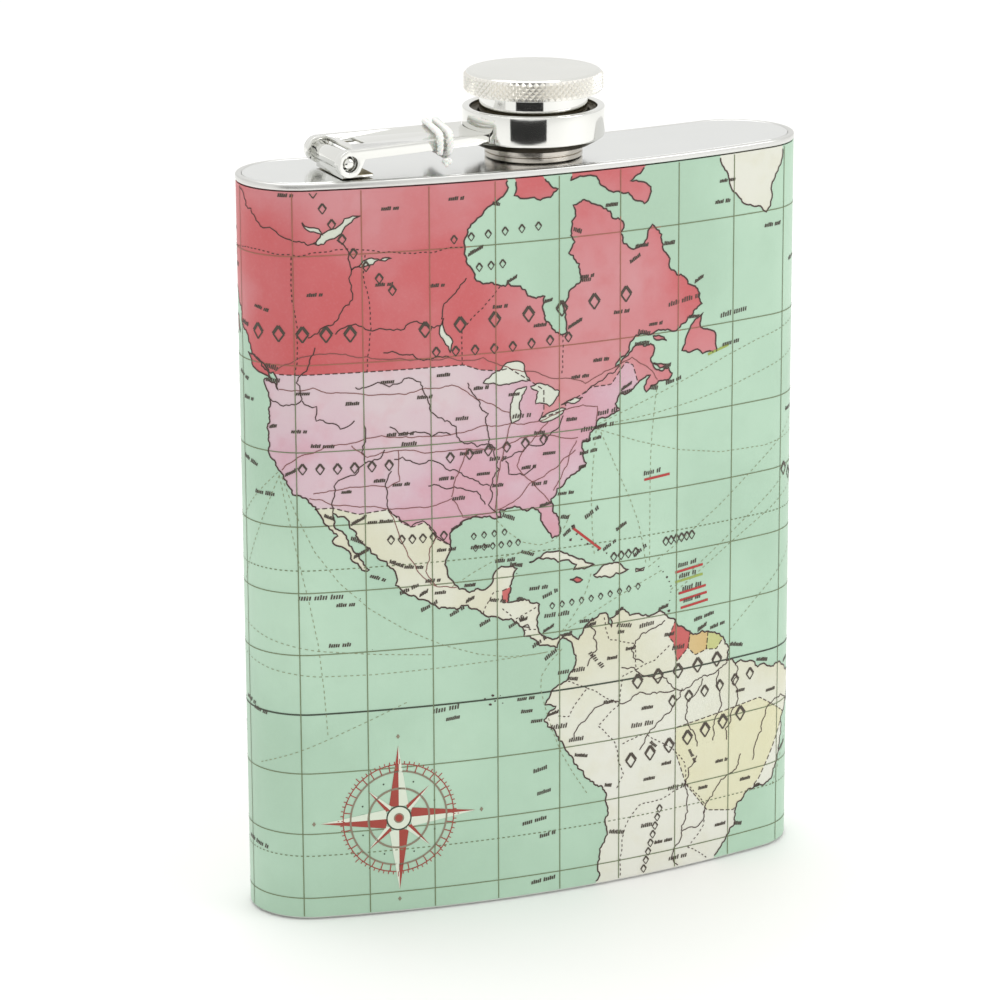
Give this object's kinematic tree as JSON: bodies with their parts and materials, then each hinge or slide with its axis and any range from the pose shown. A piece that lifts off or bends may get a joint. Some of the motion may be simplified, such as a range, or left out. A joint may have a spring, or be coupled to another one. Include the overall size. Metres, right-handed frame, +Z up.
{
  "type": "hip flask",
  "caption": "Curved steel pocket flask with a printed wrap and a captive screw cap on a swinging arm.",
  "frame": {"origin": "on the base plane, under the middle of the body section's thickness and width", "axes": "+Z up along the body towards the cap, +X along the width away from the hinge, -Y out of the convex front"},
  "size_m": [0.095, 0.0249, 0.1343],
  "materials": {
    "brushed_steel": "satin",
    "polished_steel": "mirror polished",
    "chrome": "bright plated",
    "printed_paper": "satin laminated print",
    "silicone": "matte",
    "cotton": "twisted cotton"
  },
  "bodies": {
    "flask": {"body_shell": "brushed_steel", "top_plate": "polished_steel", "bottom_plate": "polished_steel", "map_wrap": "printed_paper", "neck_spout": "polished_steel", "hinge_bracket": "chrome", "hinge_pin": "polished_steel"},
    "arm": {"link_arm": "chrome", "captive_collar": "chrome", "string_wrap": "cotton", "string_knot": "cotton"},
    "cap_ring": {"retaining_ring": "polished_steel"},
    "cap": {"cap_knob": "chrome", "cap_sleeve": "polished_steel", "cap_gasket": "silicone"}
  },
  "joints": [
    {"name": "arm_swing", "type": "hinge", "parent": "flask", "child": "arm", "pos_m": [-0.0333, -0.0003, 0.1232], "axis": [0, -1, 0], "range_deg": [0, 120]},
    {"name": "cap_lift", "type": "slide", "parent": "arm", "child": "cap_ring", "axis": [0, 0, 1], "range_m": [0, 0.0024]},
    {"name": "cap_turn", "type": "hinge", "parent": "cap_ring", "child": "cap", "pos_m": [0.0006, -0.0003, 0.13094], "axis": [0, 0, 1], "range_deg": [0, 480]}
  ],
  "couplings": [
    {"joint": "cap_lift", "follows": "cap_turn", "m_per_rad": 0.0002864}
  ]
}
